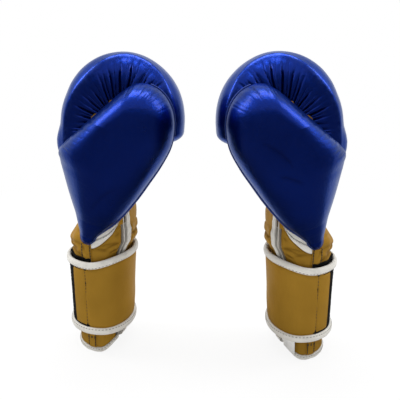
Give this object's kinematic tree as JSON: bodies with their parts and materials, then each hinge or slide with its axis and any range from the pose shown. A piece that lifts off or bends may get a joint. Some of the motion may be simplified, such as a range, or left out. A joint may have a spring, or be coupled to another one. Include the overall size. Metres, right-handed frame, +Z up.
{
  "type": "boxing gloves",
  "caption": "Padded leather boxing gloves, left and right, standing on their cuffs: curled mitt, attached thumb, lined hand pocket and a hook-and-loop wrist strap that peels open.",
  "frame": {"origin": "under the middle of the pair's box, on the surface that the cuffs stand on", "axes": "+Z up from the cuffs to the knuckles, +X from the left glove to the right glove, -Y towards the thumbs"},
  "size_m": [0.2774, 0.1572, 0.2896],
  "materials": {
    "blue_leather": "pearly, semi-gloss",
    "gold_leather": "metallic, satin",
    "white_leather": "satin",
    "black_fastener": "hook and loop pile",
    "pale_lining": "woven",
    "foam": "open-cell foam"
  },
  "bodies": {
    "left_glove": {"left_mitt_shell": "blue_leather", "left_knuckle_foam": "foam", "left_palm_panel": "gold_leather", "left_heel_pad": "foam", "left_hand_lining": "pale_lining", "left_grip_bar": "foam", "left_thumb_shell": "blue_leather", "left_thumb_foam": "foam", "left_thumb_lining": "pale_lining", "left_thumb_inner_panel": "gold_leather", "left_thumb_tether": "gold_leather", "left_cuff_back_panel": "gold_leather", "left_cuff_thumb_flap": "gold_leather", "left_cuff_pinky_flap": "gold_leather", "left_cuff_foam": "foam", "left_mouth_binding": "white_leather", "left_slit_binding_thumb": "white_leather", "left_slit_binding_pinky": "white_leather", "left_seam_strip": "gold_leather", "left_thumb_gusset": "white_leather", "left_loop_panel": "black_fastener", "left_strap_root": "gold_leather"},
    "left_strap": {"left_strap": "gold_leather", "left_strap_backing": "black_fastener", "left_strap_lower_piping": "white_leather", "left_strap_upper_piping": "white_leather"},
    "left_strap_tip": {"left_strap_tip": "gold_leather", "left_strap_tip_webbing": "black_fastener", "left_strap_tip_piping": "white_leather"},
    "right_glove": {"right_mitt_shell": "blue_leather", "right_knuckle_foam": "foam", "right_palm_panel": "gold_leather", "right_heel_pad": "foam", "right_hand_lining": "pale_lining", "right_grip_bar": "foam", "right_thumb_shell": "blue_leather", "right_thumb_foam": "foam", "right_thumb_lining": "pale_lining", "right_thumb_inner_panel": "gold_leather", "right_thumb_tether": "gold_leather", "right_cuff_back_panel": "gold_leather", "right_cuff_thumb_flap": "gold_leather", "right_cuff_pinky_flap": "gold_leather", "right_cuff_foam": "foam", "right_mouth_binding": "white_leather", "right_slit_binding_thumb": "white_leather", "right_slit_binding_pinky": "white_leather", "right_seam_strip": "gold_leather", "right_thumb_gusset": "white_leather", "right_loop_panel": "black_fastener", "right_strap_root": "gold_leather", "right_blank_tag": "white_leather"},
    "right_strap": {"right_strap": "gold_leather", "right_strap_backing": "black_fastener", "right_strap_lower_piping": "white_leather", "right_strap_upper_piping": "white_leather"},
    "right_strap_tip": {"right_strap_tip": "gold_leather", "right_strap_tip_webbing": "black_fastener", "right_strap_tip_piping": "white_leather"}
  },
  "joints": [
    {"name": "right_glove_aside", "type": "slide", "parent": "left_glove", "child": "right_glove", "axis": [1, 0, 0], "range_m": [0, 0.06]},
    {"name": "left_strap_peel", "type": "hinge", "parent": "left_glove", "child": "left_strap", "pos_m": [-0.06696, 0.04414, 0.0555], "axis": [0.0434, 0.0065, 0.999], "range_deg": [0, 45]},
    {"name": "left_tip_peel", "type": "hinge", "parent": "left_strap", "child": "left_strap_tip", "pos_m": [-0.10786, -0.01686, 0.0555], "axis": [-0.0097, -0.0198, 0.9998], "range_deg": [0, 75]},
    {"name": "right_strap_peel", "type": "hinge", "parent": "right_glove", "child": "right_strap", "pos_m": [0.06696, 0.02714, 0.0555], "axis": [0.0434, -0.0065, -0.999], "range_deg": [0, 45]},
    {"name": "right_tip_peel", "type": "hinge", "parent": "right_strap", "child": "right_strap_tip", "pos_m": [0.10786, -0.03386, 0.0555], "axis": [-0.0097, 0.0198, -0.9998], "range_deg": [0, 75]}
  ],
  "couplings": [
    {"joint": "left_tip_peel", "follows": "left_strap_peel", "ratio": 1.6666},
    {"joint": "right_tip_peel", "follows": "right_strap_peel", "ratio": 1.6666}
  ]
}
